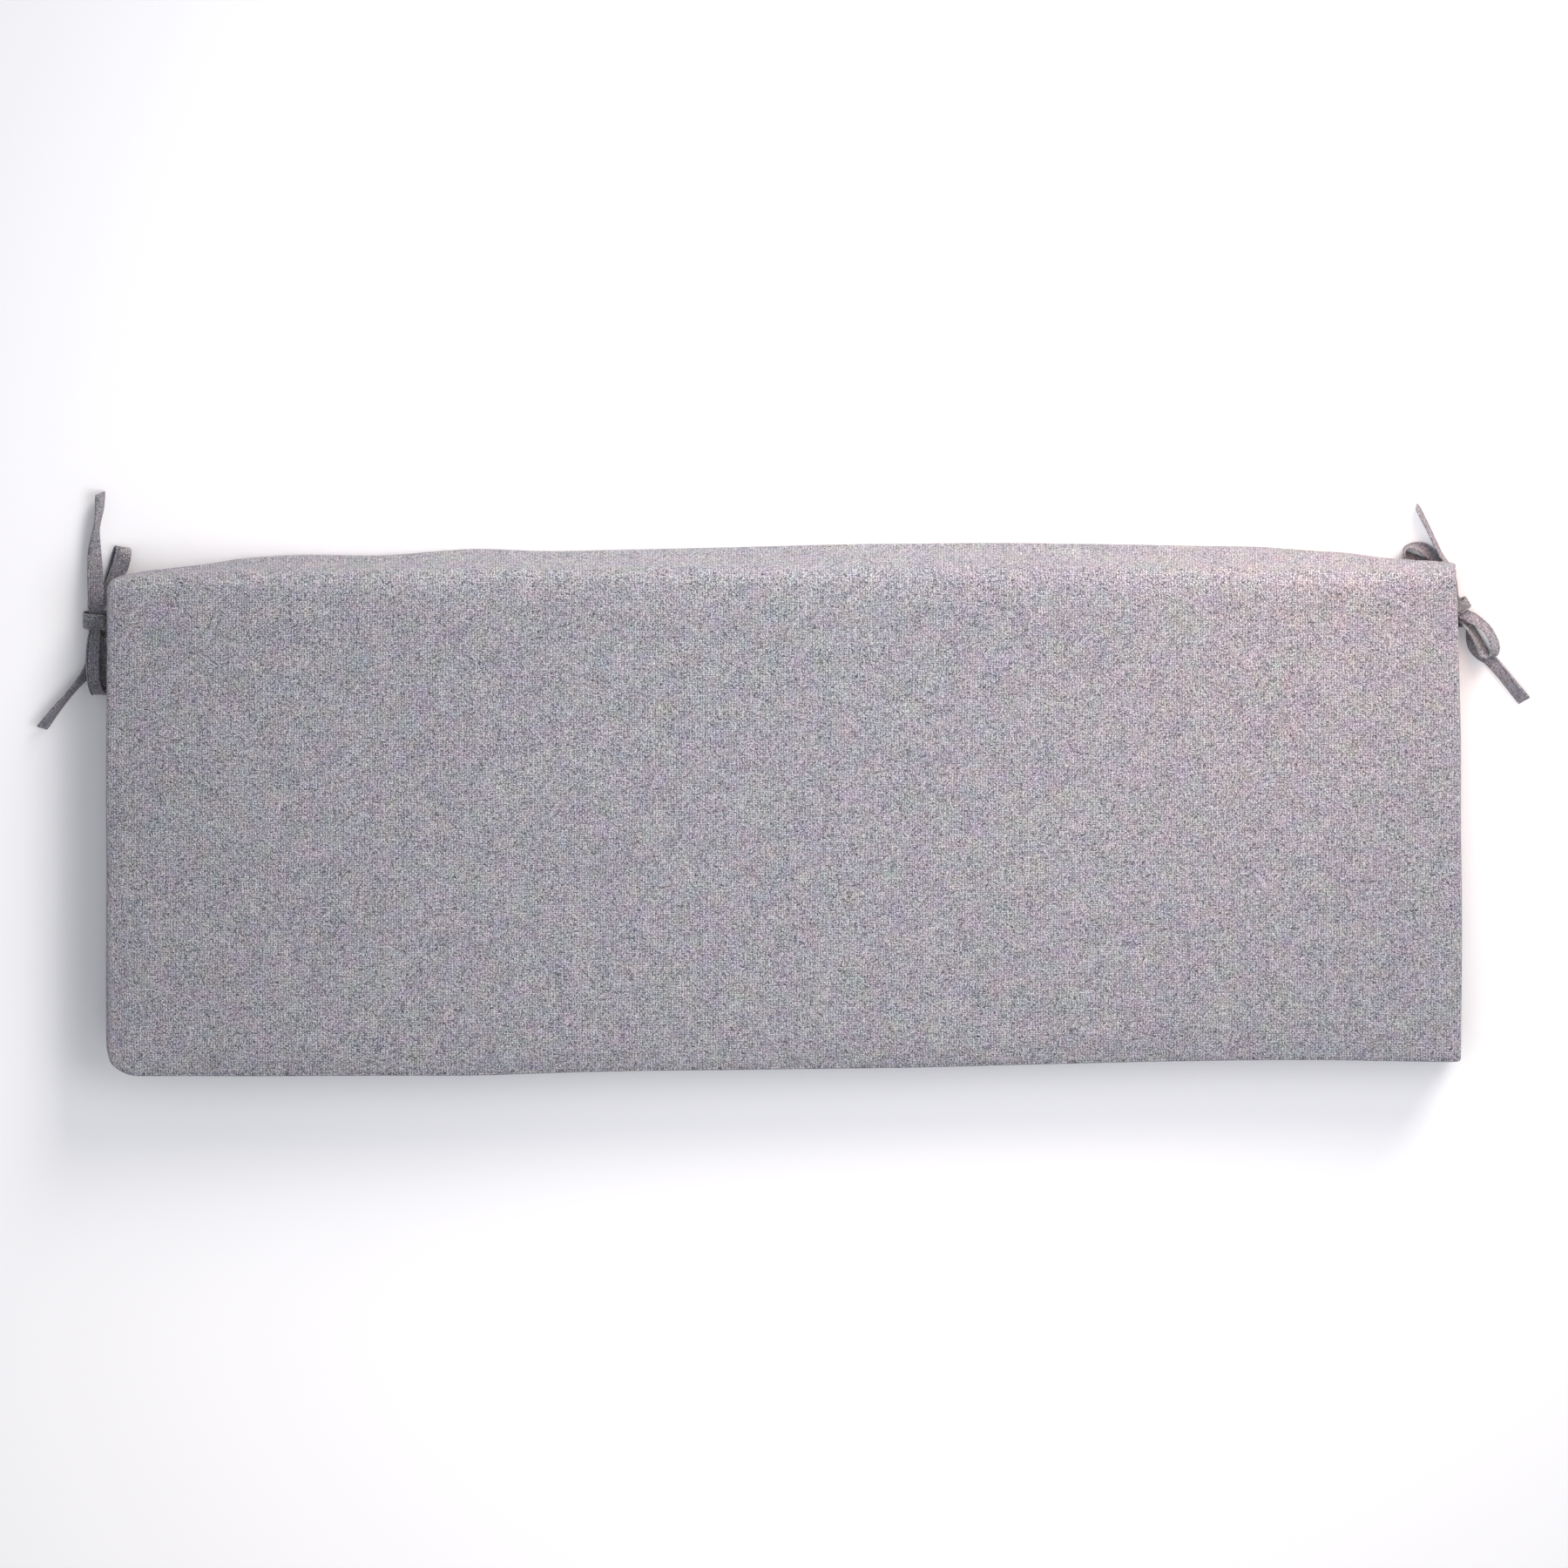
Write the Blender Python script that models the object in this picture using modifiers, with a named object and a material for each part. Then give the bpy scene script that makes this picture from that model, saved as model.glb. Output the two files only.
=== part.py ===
"""Bench cushion: one filled solid with four sewn ties, knotted in a bow at each rear corner.

The cushion lies on its back, face up. X runs along its length, Y from its front to the tie edge,
and Z is its thickness. The origin is on the underside, at its middle. Tables are in millimetres.
"""

import math

import bmesh
import bpy
import numpy as np
from mathutils import Vector

MM = 0.001

# Cushion: 36 x 14 in face over a 2 in filling.
HALF_LENGTH = 458.0
EDGE_HEIGHT = 49.0
CROWN = 4.5
CROWN_SPREAD = 0.7
CROWN_END = 6
REAR_FOLD_RADIUS = 9.0
SEAM_RADIUS = 3.0
BOTTOM_RADIUS = 4.0
MID_HEIGHT = EDGE_HEIGHT / 2
REAR_BULGE = 2.0
FRONT_BULGE = 1.5
TUCK_HEIGHT = 24.0
TUCK_POWER = 1.2
CORNER_LIFT = 5.0
LIFT_REACH = 38.0
END_REACH = 46.0

# Outline of the face: x, y of the front edge.
FRONT_EDGE = [
    (-458, -163), (-456, -171), (-452, -176), (-445, -180.5), (-438, -182), (-220, -181.7),
    (-130, -179), (-10, -177.4), (106, -175.5), (224, -172.6), (340, -170.8), (458, -172),
]
# Outline of the face: x, y of the rear fold.
REAR_EDGE = [
    (-458, 164), (-456, 168.5), (-452, 171.5), (-441, 174.6), (-424, 176.6), (-380, 178),
    (300, 178), (458, 177.5),
]
# Rear wall: x, how far its foot leans in, how far its lowest part tucks in.
REAR_WALL = [
    (-458, 14, 8), (-424, 14, 4), (-394, 11.5, 1), (-365, 7.2, 0), (-320, 4.5, 0), (-277, 5.4, 0),
    (-203, 0.5, 0), (-159, 1.7, 0), (-41, -0.8, 0), (62, -3.3, 0), (150, -4, 0), (238, -2.7, 0),
    (312, -1.4, 0), (371, 1.2, 1), (405, 1, 6), (425, 1, 14), (442, 2, 19), (458, 5, 20),
]
# End walls: y, how far the left and right face edges draw in, how far each foot tucks in.
END_WALLS = [
    (-182, 0.3, 0.6, 1, 1), (-110, 0, 0, 0, 0), (0, 0, 0.4, 0, 0), (50, 0.2, 0.9, 1, 0),
    (75, 0.3, 1.2, 4, 2), (90, 0.3, 1.5, 6, 6), (110, 0.3, 2, 9, 12), (131, 0.3, 2.6, 14, 16),
    (150, 0.3, 3.2, 16, 19), (182, 0.3, 4, 17, 21),
]
# Rings that round over the end seam and close the end panel: inset from the end, size of ring.
END_RINGS = [
    (3.2, 1.0), (0.9, 0.965), (0.1, 0.89), (0.9, 0.845), (0.2, 0.76), (0.0, 0.45),
]
STATIONS = [-452, -446, -438, -424, -405, -380, -350, -320, -285, -250, -205, -160, -105, -50, 5,
            60, 110, 160, 205, 250, 290, 330, 365, 390, 410, 425, 438, 446, 452]
TOP_STEPS = 12
FOLD_STEPS = 4
SEAM_STEPS = 2
WALL_STEPS = 5
BOTTOM_STEPS = 9

# Ties: flat tubes of the cover's cloth.
TIE_THICKNESS = 1.6
TIE_STEP = 2.5
CLEARANCE = 0.4
LEFT_BAND = 11.0
RIGHT_BAND = 7.4

COVER_COLOUR = (0.37, 0.35, 0.39, 1)
TIE_COLOUR = (0.33, 0.31, 0.35, 1)
CLOTH_ROUGHNESS = 0.95

# Bow frames: knot x and y, swing of the bow's axis in degrees, side on which the cushion lies.
LEFT_BOW = (-465.3, 128.5, 0.0, 1)
RIGHT_BOW = (455.2, 137.5, 29.4, -1)

# Tie routes in the bow's own frame, a row for each bend: u toward the cushion, v up the bow's axis,
# height, heading and rise in degrees of the line across the tie, and its width where it is bunched.
LEFT_UP = [
    (22.4, 32.0, 11.1, -44, 0, 8.4), (13.8, 24.5, 8.5, -42, 0, 9.0), (7.2, 17.4, 7.0, -36, 0, 8.0),
    (2.0, 10.0, 6.1, -15, 0, 7.8), (0.0, 3.0, 5.4, 0, 0, 7.8), (0.0, -6.0, 5.4, 0, 0, 7.8),
    (1.0, -12.5, 6.5, 0, 0, 9.0), (2.6, -21.0, 6.2, 0, 0, 10.5), (3.5, -32.0, 5.4, 0, 0, 11.5),
    (3.7, -42.5, 5.2, 0, 0, 11.5), (3.5, -48.5, 6.3, 0, 0, 11.5), (3.0, -51.1, 9.0, 0, 0, 11.0),
    (1.0, -48.7, 12.0, 0, 5, 9.6), (-1.2, -40.5, 13.4, 0, 8, 9.0), (-1.9, -28.0, 12.6, 0, 10, 9.4),
    (-1.4, -16.0, 10.4, 0, 5, 9.2), (-0.4, -8.0, 7.8, 0, 0, 8.0), (0.0, 0.0, 7.4, 0, 0, 7.8),
    (0.4, 6.8, 8.0, 0, 0, 9.0), (0.4, 11.2, 10.2, 0, 0, 11.4), (0.6, 16.6, 10.9, 0, -2, 11.4),
    (0.3, 25.0, 9.9, 0, -6, 11.2), (-0.1, 37.0, 6.7, 0, -26, 11.4), (-0.5, 50.0, 5.6, 0, -43, 11.5),
    (0.3, 61.5, 6.3, 0, -65, 11.5), (1.6, 69.5, 6.4, 0, -69, 11.5), (2.9, 78.0, 6.3, 0, -62, 11.5),
    (3.5, 90.4, 6.1, 0, -57, 11.5),
]
KNOT_BAND = [
    (8.0, 0.0, 1.15, 90, 0, 10.0), (-1.0, 0.0, 1.15, 90, 0, 10.5), (-4.8, 0.0, 1.3, 90, 0, 10.5),
    (-7.2, 0.0, 3.0, 90, 0, 11.0), (-7.7, 0.0, 5.6, 90, 0, 11.0), (-6.6, 0.0, 8.4, 90, 0, 11.0),
    (-3.8, 0.0, 9.8, 90, 0, 11.0), (0.6, 0.0, 10.1, 90, 0, 11.0), (4.8, -0.6, 9.6, 90, 0, 10.5),
    (7.8, -2.6, 7.6, 90, -20, 8.5), (8.4, -6.4, 4.6, 90, -50, 5.5), (7.2, -10.8, 2.5, 90, -88, 3.6),
    (4.6, -13.4, 2.4, 90, -90, 3.5), (2.4, -11.4, 2.4, 0, -80, 3.5), (2.4, -6.6, 2.9, 0, -12, 3.9),
    (2.4, 0.0, 3.2, 0, 0, 4.1), (3.2, 6.4, 2.7, -5, 0, 4.2),
]


def knot_band(width):
    """The knot's rows, gathered to a width."""
    return [(*row[:5], min(row[5], width)) for row in KNOT_BAND]


LEFT_DOWN = [
    (21.3, 0.0, 1.15, 90, 0, 10.0), *knot_band(LEFT_BAND), (5.2, 11.4, 1.8, -18, 0, 4.4),
    (8.2, 18.6, 1.4, -22, 0, 7.5), (12.2, 30.0, 1.3, -25, 0, 10.5), (15.6, 41.2, 1.4, -20, 0, 11.2),
    (17.4, 48.0, 2.2, -14, 0, 11.0), (18.6, 50.9, 4.3, -12, 0, 10.8), (19.1, 48.6, 6.5, -14, 0, 11.0),
    (17.5, 40.5, 6.8, -18, 0, 11.5), (13.3, 29.5, 5.6, -27, 0, 10.5), (7.6, 20.4, 4.5, -38, 0, 7.0),
    (3.2, 14.4, 4.1, -38, 0, 5.2), (-0.4, 9.8, 3.8, -32, 0, 4.2), (-2.2, 5.4, 3.3, -8, 0, 4.1),
    (-2.3, 0.0, 3.2, 0, 0, 4.1), (-2.4, -7.0, 2.8, 0, 0, 4.4), (-1.5, -16.0, 2.0, -4, 0, 5.4),
    (-1.4, -26.0, 1.9, -12, -6, 7.2), (-5.4, -37.4, 4.0, -30, -36, 9.2),
    (-15.0, -49.5, 5.7, -37, -59, 10.8), (-25.9, -63.0, 5.6, -38, -54, 11.3),
    (-36.0, -77.0, 5.1, -37, -44, 11.5),
]
RIGHT_UP = [
    (12.4, 27.6, 6.4, 0, 0, 8.0), (5.4, 18.4, 6.0, 0, 0, 8.0), (1.8, 12.6, 5.7, 0, 0, 7.8),
    (0.4, 7.5, 5.4, 0, 0, 7.8), (0.0, 1.0, 5.3, 0, 0, 7.8), (0.0, -5.0, 5.3, 0, 0, 7.8),
    (0.0, -10.0, 6.2, 0, 28, 8.2), (-0.5, -14.6, 7.6, 0, 54, 9.2), (-0.6, -21.6, 8.1, 0, 69, 10.4),
    (-0.3, -29.6, 7.8, 6, 64, 10.8), (-0.1, -35.8, 8.0, 20, 57, 10.8), (-2.0, -39.8, 8.2, 44, 49, 10.4),
    (-5.4, -40.0, 8.2, 50, 50, 10.4), (-8.6, -36.2, 7.9, 36, 61, 10.8), (-9.9, -29.8, 7.6, 20, 68, 11.0),
    (-9.8, -22.4, 7.9, 14, 70, 10.6), (-7.9, -15.6, 8.6, 10, 62, 9.8), (-4.6, -10.0, 8.6, 6, 30, 8.8),
    (-0.9, -4.9, 8.0, 2, 6, 7.9), (0.0, 0.0, 7.4, 0, 0, 7.8), (-0.5, 6.6, 8.0, 0, 4, 8.0),
    (-3.6, 12.0, 9.9, 0, 42, 8.0), (-7.2, 17.6, 7.8, 0, 74, 8.0), (-8.8, 23.3, 5.4, 0, 88, 8.0),
    (-8.7, 29.9, 4.9, 0, 89, 8.4), (-8.2, 36.7, 5.8, 0, 89, 10.4), (-8.7, 44.4, 6.4, 0, 88, 11.5),
    (-9.5, 52.4, 6.4, 0, 88, 11.5), (-10.3, 62.9, 6.4, 0, 87, 11.5), (-11.1, 76.4, 6.4, 0, 87, 11.5),
]
RIGHT_DOWN = [
    (17.5, 0.0, 1.15, 90, 0, 10.0), *knot_band(RIGHT_BAND), (2.4, 14.0, 1.5, 5, 0, 5.0),
    (0.4, 22.2, 1.3, 8, 0, 6.2), (0.6, 30.0, 1.3, -12, 0, 6.6), (4.4, 36.8, 1.4, -37, 0, 7.0),
    (9.9, 43.4, 2.9, -49, 24, 8.0), (13.0, 49.0, 5.4, -60, 68, 10.0), (11.2, 53.2, 6.3, -60, 94, 11.0),
    (6.8, 54.0, 6.5, -60, 98, 11.5), (2.4, 50.9, 6.2, -60, 80, 11.0), (-0.8, 45.6, 5.1, -42, 48, 9.4),
    (-3.1, 38.6, 4.1, -24, 16, 7.4), (-3.9, 31.0, 3.7, -8, 2, 6.2), (-3.6, 23.0, 3.7, 0, 0, 5.4),
    (-2.8, 14.6, 3.6, 0, 0, 4.6), (-2.3, 7.0, 3.3, 0, 0, 4.1), (-2.3, 0.0, 3.2, 0, 0, 4.1),
    (-2.6, -7.0, 2.6, 0, 0, 4.2), (-1.5, -13.4, 1.7, 8, 0, 4.6), (1.4, -19.8, 1.2, 16, 0, 6.2),
    (4.0, -26.0, 1.2, 8, 0, 7.6), (4.9, -32.0, 1.2, -12, 0, 8.4), (3.4, -37.8, 1.2, -28, 0, 8.8),
    (0.6, -43.2, 1.2, -26, -1, 8.8), (-1.3, -49.6, 1.9, -14, -10, 9.0), (-2.9, -58.0, 3.1, -8, -22, 9.6),
    (-4.5, -69.2, 3.6, -5, -28, 10.6), (-6.3, -80.6, 3.8, -4, -28, 11.2),
]


def read_table(table, at, column=1):
    """Value of a table's column at a place along its first column, eased between rows."""
    rows = np.array(table, dtype=float)
    keys, values = rows[:, 0], rows[:, column]
    at = min(max(at, keys[0]), keys[-1])
    i = min(int(np.searchsorted(keys, at, side="right")) - 1, len(keys) - 2)
    grades = np.diff(values) / np.diff(keys)
    slopes = np.zeros(len(keys))
    turning = grades[:-1] * grades[1:] <= 0
    total = np.where(turning, 1, grades[:-1] + grades[1:])
    slopes[1:-1] = np.where(turning, 0, 2 * grades[:-1] * grades[1:] / total)
    span = keys[i + 1] - keys[i]
    t = (at - keys[i]) / span
    return float(
        values[i] * (2 * t**3 - 3 * t**2 + 1) + values[i + 1] * (3 * t**2 - 2 * t**3)
        + span * (slopes[i] * (t**3 - 2 * t**2 + t) + slopes[i + 1] * (t**3 - t**2))
    )


def smooth_step(t):
    """Ease from 0 to 1."""
    t = min(max(t, 0.0), 1.0)
    return t * t * (3 - 2 * t)


def tuck_profile(z):
    """How much of the foot's tuck reaches a height on the wall."""
    return max(0.0, 1 - z / TUCK_HEIGHT) ** TUCK_POWER


def arc(centre, radius, start, steps):
    """Points of a quarter turn, clockwise from the start angle, without its last point."""
    turns = [math.radians(start - 90 * i / steps) for i in range(steps)]
    return [(centre[0] + radius * math.cos(a), centre[1] + radius * math.sin(a)) for a in turns]


def line(start, end, steps):
    """Evenly spaced points from start to end, without the last point."""
    return [
        (start[0] + (end[0] - start[0]) * i / steps, start[1] + (end[1] - start[1]) * i / steps)
        for i in range(steps)
    ]


def section(x):
    """The cushion's outline across its depth at x: a ring of (y, z) points from the front edge."""
    front = read_table(FRONT_EDGE, x)
    rear = read_table(REAR_EDGE, x)
    top, fold, seam, foot = EDGE_HEIGHT, REAR_FOLD_RADIUS, SEAM_RADIUS, BOTTOM_RADIUS
    ring = line((front + seam, top), (rear - fold, top), TOP_STEPS)
    ring += arc((rear - fold, top - fold), fold, 90, FOLD_STEPS)
    ring += line((rear, top - fold), (rear, seam), WALL_STEPS)
    ring += arc((rear - seam, seam), seam, 0, SEAM_STEPS)
    ring += line((rear - seam, 0), (front + foot, 0), BOTTOM_STEPS)
    ring += arc((front + foot, foot), foot, 270, SEAM_STEPS)
    ring += line((front, foot), (front, top - seam), WALL_STEPS - 1)
    ring += arc((front + seam, top - seam), seam, 180, SEAM_STEPS)
    lean = read_table(REAR_WALL, x, 1)
    tuck = read_table(REAR_WALL, x, 2)
    shaped = []
    for y, z in ring:
        share = (y - front) / (rear - front)
        bulge = math.sin(math.pi * min(max(z / top, 0), 1))
        pull = lean * (1 - z / top) + tuck * tuck_profile(z)
        y += share * (REAR_BULGE * bulge - pull) - (1 - share) * FRONT_BULGE * bulge
        across = 1 - (2 * share - 1) ** 2
        along = 1 - (abs(x) / HALF_LENGTH) ** CROWN_END
        z += (z / top) ** 4 * CROWN * max(across, 0) ** CROWN_SPREAD * max(along, 0)
        shaped.append((y, z))
    return shaped


def shrink(ring, scale):
    """Draw a ring toward the middle line of the end panel."""
    limit = max(y for y, z in ring) - MID_HEIGHT
    floor = min(y for y, z in ring) + MID_HEIGHT
    drawn = []
    for y, z in ring:
        middle = min(max(y, floor), limit)
        drawn.append((middle + (y - middle) * scale, MID_HEIGHT + (z - MID_HEIGHT) * scale))
    return drawn


def settle(x, y, z):
    """Draw in the end walls and lift the soft corners at the ties, for one point."""
    right = x > 0
    edge = read_table(END_WALLS, y, 2 if right else 1)
    tuck = read_table(END_WALLS, y, 4 if right else 3)
    reach = smooth_step((abs(x) - HALF_LENGTH + END_REACH) / END_REACH)
    x -= math.copysign(reach * (edge + tuck * tuck_profile(z)), x)
    corner = Vector((math.copysign(HALF_LENGTH - tuck, x), read_table(REAR_EDGE, x) - tuck))
    near = smooth_step(1 - (Vector((x, y)) - corner).length / LIFT_REACH)
    z += CORNER_LIFT * near * (1 - z / EDGE_HEIGHT) if z < EDGE_HEIGHT else 0
    return x, y, z


def make_object(name, mesh, colour, collection):
    """Put a mesh in the collection with a cloth material of its own."""
    material = bpy.data.materials.new(name + "_cloth")
    material.use_nodes = True
    shader = material.node_tree.nodes["Principled BSDF"]
    shader.inputs["Base Color"].default_value = colour
    shader.inputs["Roughness"].default_value = CLOTH_ROUGHNESS
    shader.inputs["Metallic"].default_value = 0.0
    mesh.materials.append(material)
    thing = bpy.data.objects.new(name, mesh)
    collection.objects.link(thing)
    return thing


def grid_points(bm, along, across):
    """A flat grid's vertices in reading order, as rows along by columns across."""
    bmesh.ops.create_grid(bm, x_segments=along - 1, y_segments=across - 1, size=1)
    order = sorted(bm.verts, key=lambda v: (round(v.co.x, 4), round(v.co.y, 4)))
    return [order[i * across:(i + 1) * across] for i in range(along)]


def build_cushion(collection):
    """The filled cover: one cloth wrapped along its length and closed by two end panels."""
    rings = []
    for inset, scale in reversed(END_RINGS):
        rings.append((-HALF_LENGTH + inset, shrink(section(-HALF_LENGTH + inset), scale)))
    for x in STATIONS:
        rings.append((x, section(x)))
    for inset, scale in END_RINGS:
        rings.append((HALF_LENGTH - inset, shrink(section(HALF_LENGTH - inset), scale)))
    bm = bmesh.new()
    rows = grid_points(bm, len(rings), len(rings[0][1]) + 1)
    for row, (x, ring) in zip(rows, rings):
        for vert, (y, z) in zip(row, ring + ring[:1]):
            vert.co = Vector(settle(x, y, z)) * MM
    bmesh.ops.remove_doubles(bm, verts=bm.verts, dist=0.00001)
    panels = bmesh.ops.holes_fill(bm, edges=bm.edges, sides=0)["faces"]
    bmesh.ops.triangulate(bm, faces=panels)
    bmesh.ops.recalc_face_normals(bm, faces=bm.faces)
    mesh = bpy.data.meshes.new("cushion")
    bm.to_mesh(mesh)
    bm.free()
    mesh.shade_smooth()
    mesh.set_sharp_from_angle(angle=math.radians(40))
    return make_object("cushion", mesh, COVER_COLOUR, collection)


def curve_through(rows, step):
    """Points read from a smooth curve through the rows, every value eased alike."""
    rows = [np.array(row, dtype=float) for row in rows]
    padded = [2 * rows[0] - rows[1], *rows, 2 * rows[-1] - rows[-2]]
    points = []
    for a, b, c, d in zip(padded, padded[1:], padded[2:], padded[3:]):
        count = max(2, round(float(np.linalg.norm((c - b)[:3])) / step))
        for i in range(count):
            t = i / count
            points.append(0.5 * (
                2 * b + (c - a) * t + (2 * a - 5 * b + 4 * c - d) * t**2
                + (3 * b - a - 3 * c + d) * t**3
            ))
    points.append(rows[-1])
    return points


def place_route(route, bow):
    """Turn a route from the bow's frame into world rows: centre, line across, width."""
    knot_x, knot_y, swing, hand = bow
    cos, sin = math.cos(math.radians(swing)), math.sin(math.radians(swing))
    placed = []
    for u, v, z, heading, rise, width in route:
        heading, rise = math.radians(heading), math.radians(rise)
        side_u = math.cos(heading) * math.cos(rise)
        side_v = math.sin(heading) * math.cos(rise)
        placed.append((
            knot_x + hand * cos * u - sin * v, knot_y + hand * sin * u + cos * v, z,
            hand * cos * side_u - sin * side_v, hand * sin * side_u + cos * side_v,
            math.sin(rise), width,
        ))
    return placed


def build_tie(name, route, bow, cutter, collection):
    """A tie: a flat strip laid along its route, thickened, and cut off at the cushion's seam."""
    points = curve_through(place_route(route, bow), TIE_STEP)
    centres = [Vector(p[:3]) for p in points]
    bm = bmesh.new()
    rows = grid_points(bm, len(points), 3)
    for i, (row, point) in enumerate(zip(rows, points)):
        run = (centres[min(i + 1, len(centres) - 1)] - centres[max(i - 1, 0)]).normalized()
        across = Vector(point[3:6])
        across = (across - run * across.dot(run)).normalized()
        for vert, share in zip(row, (-0.5, 0.0, 0.5)):
            vert.co = (centres[i] + across * share * point[6]) * MM
    mesh = bpy.data.meshes.new(name)
    bm.to_mesh(mesh)
    bm.free()
    tie = make_object(name, mesh, TIE_COLOUR, collection)
    solid = tie.modifiers.new("folded_thickness", "SOLIDIFY")
    solid.thickness = TIE_THICKNESS * MM
    solid.offset = 0
    trim = tie.modifiers.new("trim_at_seam", "BOOLEAN")
    trim.operation = "DIFFERENCE"
    trim.object = cutter
    return tie


def main():
    for thing in list(bpy.data.objects):
        bpy.data.objects.remove(thing, do_unlink=True)
    parts = bpy.data.collections.new("bench_cushion")
    cutters = bpy.data.collections.new("cutters")
    bpy.context.scene.collection.children.link(parts)
    bpy.context.scene.collection.children.link(cutters)
    cushion = build_cushion(parts)
    cutter = bpy.data.objects.new("cushion_clearance", cushion.data.copy())
    cutters.objects.link(cutter)
    cutter.hide_render = True
    cutter.display_type = "WIRE"
    swell = cutter.modifiers.new("clearance", "DISPLACE")
    swell.strength = CLEARANCE * MM
    swell.mid_level = 0
    build_tie("tie_left_up", LEFT_UP, LEFT_BOW, cutter, parts)
    build_tie("tie_left_down", LEFT_DOWN, LEFT_BOW, cutter, parts)
    build_tie("tie_right_up", RIGHT_UP, RIGHT_BOW, cutter, parts)
    build_tie("tie_right_down", RIGHT_DOWN, RIGHT_BOW, cutter, parts)


main()
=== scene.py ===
"""Bench cushion with four cloth ties, lying face up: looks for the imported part."""
import math

import bmesh
import bpy
import numpy as np
from mathutils import Matrix, Vector, noise


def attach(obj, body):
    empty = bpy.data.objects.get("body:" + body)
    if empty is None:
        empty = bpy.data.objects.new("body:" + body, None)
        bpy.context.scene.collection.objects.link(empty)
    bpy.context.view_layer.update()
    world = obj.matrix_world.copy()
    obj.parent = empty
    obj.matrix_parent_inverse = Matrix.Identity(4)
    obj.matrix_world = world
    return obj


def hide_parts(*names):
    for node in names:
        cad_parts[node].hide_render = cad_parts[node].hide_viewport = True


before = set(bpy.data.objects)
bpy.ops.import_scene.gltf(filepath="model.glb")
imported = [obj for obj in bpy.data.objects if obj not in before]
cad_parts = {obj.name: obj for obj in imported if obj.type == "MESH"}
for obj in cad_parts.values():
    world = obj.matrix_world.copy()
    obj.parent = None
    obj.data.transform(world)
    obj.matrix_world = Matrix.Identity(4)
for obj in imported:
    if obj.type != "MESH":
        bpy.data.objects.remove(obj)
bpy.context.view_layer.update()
MM = 0.001


# ---------------------------------------------------------------------------------------------
# Camera. It looks down on the face from 18 degrees toward the tie edge, from far enough away
# that the long edges stay parallel, and the frame is 1059 mm wide as in the photograph.
# ---------------------------------------------------------------------------------------------
VIEW_TILT = math.radians(18)
FRAME_WIDTH = 1059.3 * MM
FRAME_RISE = 9.65 * MM
CAMERA_DISTANCE = 6.0
CLIP_END = 50

lens = bpy.data.cameras.new("camera")
lens.type = "ORTHO"
lens.ortho_scale = FRAME_WIDTH
lens.clip_end = CLIP_END
camera = bpy.data.objects.new("camera", lens)
bpy.context.scene.collection.objects.link(camera)
away = Vector((0, math.sin(VIEW_TILT), math.cos(VIEW_TILT)))
upward = Vector((0, math.cos(VIEW_TILT), -math.sin(VIEW_TILT)))
camera.matrix_world = Matrix.Translation(away * CAMERA_DISTANCE + upward * FRAME_RISE) @ Matrix((
    (1, upward.x, away.x, 0), (0, upward.y, away.y, 0), (0, upward.z, away.z, 0), (0, 0, 0, 1),
))
bpy.context.scene.camera = camera
bpy.context.scene.view_settings.view_transform = "Standard"


# ---------------------------------------------------------------------------------------------
# Cover and filling. One cloth runs up the front wall, over the face, down the rear wall and
# under, and two flat end panels close it over a firm slab. It is sewn along the end edges,
# where the stitches pull the cloth into a narrow groove beside a soft roll.
# ---------------------------------------------------------------------------------------------
HALF_LENGTH = 458.0
EDGE_HEIGHT = 49.0
CROWN = 3.0
CROWN_SPREAD = 0.7
CROWN_END = 6
CROWN_RISE = 4
REAR_FOLD_RADIUS = 9.0
SEAM_RADIUS = 2.2
BOTTOM_RADIUS = 4.0
MID_HEIGHT = EDGE_HEIGHT / 2
REAR_BULGE = 1.2
FRONT_BULGE = 0.8
TUCK_HEIGHT = 24.0
TUCK_POWER = 1.2
CORNER_LIFT = 5.0
LIFT_REACH = 38.0
END_REACH = 46.0
STATION_STEP = 6.6
STEPS = {"face": 54, "fold": 8, "wall": 7, "seam": 3, "under": 54}

# Outline of the face: x, y of the front edge.
FRONT_EDGE = [
    (-458, -163), (-456, -171), (-452, -176), (-445, -180.5), (-438, -182), (-220, -181.7),
    (-130, -179), (-10, -177.4), (106, -175.5), (224, -172.6), (340, -170.8), (458, -172),
]
# Outline of the face: x, y of the rear fold.
REAR_EDGE = [
    (-458, 164), (-456, 168.5), (-452, 171.5), (-441, 174.6), (-424, 176.6), (-380, 178),
    (300, 178), (458, 177.5),
]
# Rear wall: x, how far its foot leans in, how far its lowest part tucks in.
REAR_WALL = [
    (-458, 14, 8), (-424, 14, 4), (-394, 11.5, 1), (-365, 7.2, 0), (-320, 4.5, 0), (-277, 5.4, 0),
    (-203, 0.5, 0), (-159, 1.7, 0), (-41, -0.8, 0), (62, -3.3, 0), (150, -4, 0), (238, -2.7, 0),
    (312, -1.4, 0), (371, 1.2, 1), (405, 1, 6), (425, 1, 14), (442, 2, 19), (458, 5, 20),
]
# End walls: y, how far the left and right face edges draw in, how far each foot tucks in.
END_WALLS = [
    (-182, 0.3, 0.6, 1, 1), (-110, 0, 0, 0, 0), (0, 0, 0.4, 0, 0), (50, 0.2, 0.9, 1, 0),
    (75, 0.3, 1.2, 4, 2), (90, 0.3, 1.5, 6, 6), (110, 0.3, 2, 9, 12), (131, 0.3, 2.6, 14, 16),
    (150, 0.3, 3.2, 16, 19), (182, 0.3, 4, 17, 21),
]
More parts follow.
